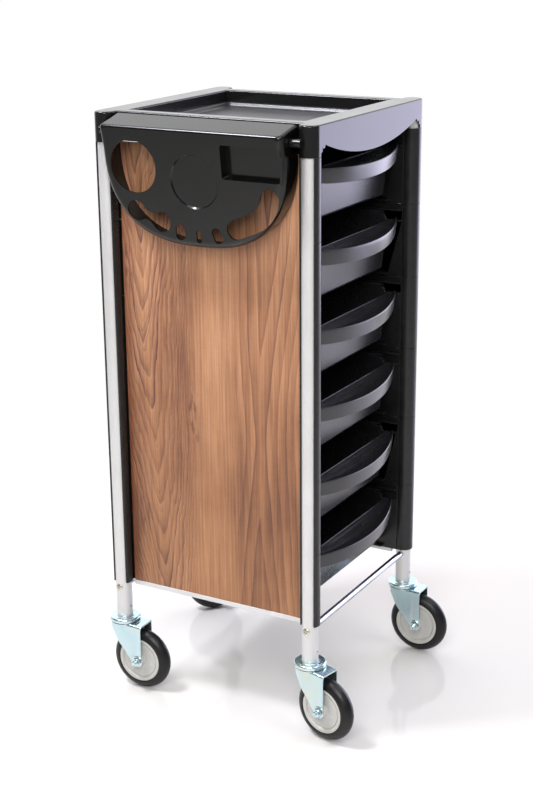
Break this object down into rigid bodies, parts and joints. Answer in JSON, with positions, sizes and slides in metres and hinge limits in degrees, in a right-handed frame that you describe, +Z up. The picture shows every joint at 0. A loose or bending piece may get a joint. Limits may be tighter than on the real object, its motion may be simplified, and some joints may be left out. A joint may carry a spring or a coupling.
{
  "type": "rolling salon trolley",
  "caption": "Rolling salon trolley: tube posts on swivel casters, side boards, sliding drawers with crescent grips, a recessed top and a fold-up tool tray.",
  "frame": {"origin": "on the floor, under the middle of the overall box with the wheels and the hanging tool tray included", "axes": "+Z up; -Y is the front, where the drawers slide out; -X is the side with the fold-up tool tray"},
  "size_m": [0.3996, 0.4728, 0.913],
  "materials": {
    "black_plastic": "satin moulded black plastic",
    "drawer_plastic": "semi-gloss black plastic",
    "tube_aluminium": "satin anodised",
    "walnut_board": "walnut laminate",
    "chrome_steel": "polished",
    "zinc_steel": "blue zinc plated",
    "hub_plastic": "light grey plastic",
    "tyre_rubber": "black rubber",
    "sleeve_plastic": "natural nylon"
  },
  "bodies": {
    "cabinet": {"top_frame": "black_plastic", "top_tray": "black_plastic", "post_front_left": "tube_aluminium", "post_rear_left": "tube_aluminium", "post_front_right": "tube_aluminium", "post_rear_right": "tube_aluminium", "runner_left_1": "black_plastic", "runner_left_2": "black_plastic", "runner_left_3": "black_plastic", "runner_left_4": "black_plastic", "runner_left_5": "black_plastic", "runner_left_6": "black_plastic", "runner_right_1": "black_plastic", "runner_right_2": "black_plastic", "runner_right_3": "black_plastic", "runner_right_4": "black_plastic", "runner_right_5": "black_plastic", "runner_right_6": "black_plastic", "side_panel_left": "walnut_board", "panel_trim_left": "tube_aluminium", "side_panel_right": "walnut_board", "panel_trim_right": "tube_aluminium", "front_rail": "chrome_steel", "rear_rail": "chrome_steel", "rail_screws": "zinc_steel", "hinge_pins": "zinc_steel", "stem_sockets": "sleeve_plastic", "swivel_balls": "chrome_steel", "caster_stem_front_left": "zinc_steel", "caster_stem_rear_left": "zinc_steel", "caster_stem_front_right": "zinc_steel", "caster_stem_rear_right": "zinc_steel"},
    "drawer_1": {"drawer_1": "drawer_plastic"},
    "drawer_2": {"drawer_2": "drawer_plastic"},
    "drawer_3": {"drawer_3": "drawer_plastic"},
    "drawer_4": {"drawer_4": "drawer_plastic"},
    "drawer_5": {"drawer_5": "drawer_plastic"},
    "drawer_6": {"drawer_6": "drawer_plastic"},
    "tool_tray": {"tool_tray": "black_plastic"},
    "caster_front_left": {"fork_front_left": "zinc_steel", "axle_bolt_front_left": "zinc_steel", "axle_nut_front_left": "zinc_steel"},
    "wheel_front_left": {"hub_front_left": "hub_plastic", "tyre_front_left": "tyre_rubber"},
    "caster_rear_left": {"fork_rear_left": "zinc_steel", "axle_bolt_rear_left": "zinc_steel", "axle_nut_rear_left": "zinc_steel"},
    "wheel_rear_left": {"hub_rear_left": "hub_plastic", "tyre_rear_left": "tyre_rubber"},
    "caster_front_right": {"fork_front_right": "zinc_steel", "axle_bolt_front_right": "zinc_steel", "axle_nut_front_right": "zinc_steel"},
    "wheel_front_right": {"hub_front_right": "hub_plastic", "tyre_front_right": "tyre_rubber"},
    "caster_rear_right": {"fork_rear_right": "zinc_steel", "axle_bolt_rear_right": "zinc_steel", "axle_nut_rear_right": "zinc_steel"},
    "wheel_rear_right": {"hub_rear_right": "hub_plastic", "tyre_rear_right": "tyre_rubber"}
  },
  "joints": [
    {"name": "drawer_1_slide", "type": "slide", "parent": "cabinet", "child": "drawer_1", "axis": [0, -1, 0], "range_m": [0, 0.23]},
    {"name": "drawer_2_slide", "type": "slide", "parent": "cabinet", "child": "drawer_2", "axis": [0, -1, 0], "range_m": [0, 0.23]},
    {"name": "drawer_3_slide", "type": "slide", "parent": "cabinet", "child": "drawer_3", "axis": [0, -1, 0], "range_m": [0, 0.23]},
    {"name": "drawer_4_slide", "type": "slide", "parent": "cabinet", "child": "drawer_4", "axis": [0, -1, 0], "range_m": [0, 0.23]},
    {"name": "drawer_5_slide", "type": "slide", "parent": "cabinet", "child": "drawer_5", "axis": [0, -1, 0], "range_m": [0, 0.23]},
    {"name": "drawer_6_slide", "type": "slide", "parent": "cabinet", "child": "drawer_6", "axis": [0, -1, 0], "range_m": [0, 0.23]},
    {"name": "tool_tray_hinge", "type": "hinge", "parent": "cabinet", "child": "tool_tray", "pos_m": [-0.17106, 0.01165, 0.889], "axis": [0, 1, 0], "range_deg": [0, 97]},
    {"name": "swivel_front_left", "type": "hinge", "parent": "cabinet", "child": "caster_front_left", "pos_m": [-0.15356, -0.15535, 0.11], "axis": [0, 0, 1], "continuous": true},
    {"name": "wheel_front_left", "type": "hinge", "parent": "caster_front_left", "child": "wheel_front_left", "pos_m": [-0.15974, -0.18573, 0.05], "axis": [0.9799, -0.1994, 0], "continuous": true},
    {"name": "swivel_rear_left", "type": "hinge", "parent": "cabinet", "child": "caster_rear_left", "pos_m": [-0.15356, 0.17865, 0.11], "axis": [0, 0, 1], "continuous": true},
    {"name": "wheel_rear_left", "type": "hinge", "parent": "caster_rear_left", "child": "wheel_rear_left", "pos_m": [-0.1527, 0.14766, 0.05], "axis": [0.9996, 0.0279, 0], "continuous": true},
    {"name": "swivel_front_right", "type": "hinge", "parent": "cabinet", "child": "caster_front_right", "pos_m": [0.17544, -0.15535, 0.11], "axis": [0, 0, 1], "continuous": true},
    {"name": "wheel_front_right", "type": "hinge", "parent": "caster_front_right", "child": "wheel_front_right", "pos_m": [0.17539, -0.18635, 0.05], "axis": [1, -0.0017, 0], "continuous": true},
    {"name": "swivel_rear_right", "type": "hinge", "parent": "cabinet", "child": "caster_rear_right", "pos_m": [0.17544, 0.17865, 0.11], "axis": [0, 0, 1], "continuous": true},
    {"name": "wheel_rear_right", "type": "hinge", "parent": "caster_rear_right", "child": "wheel_rear_right", "pos_m": [0.1524, 0.19939, 0.05], "axis": [-0.6691, -0.7431, 0], "continuous": true}
  ]
}
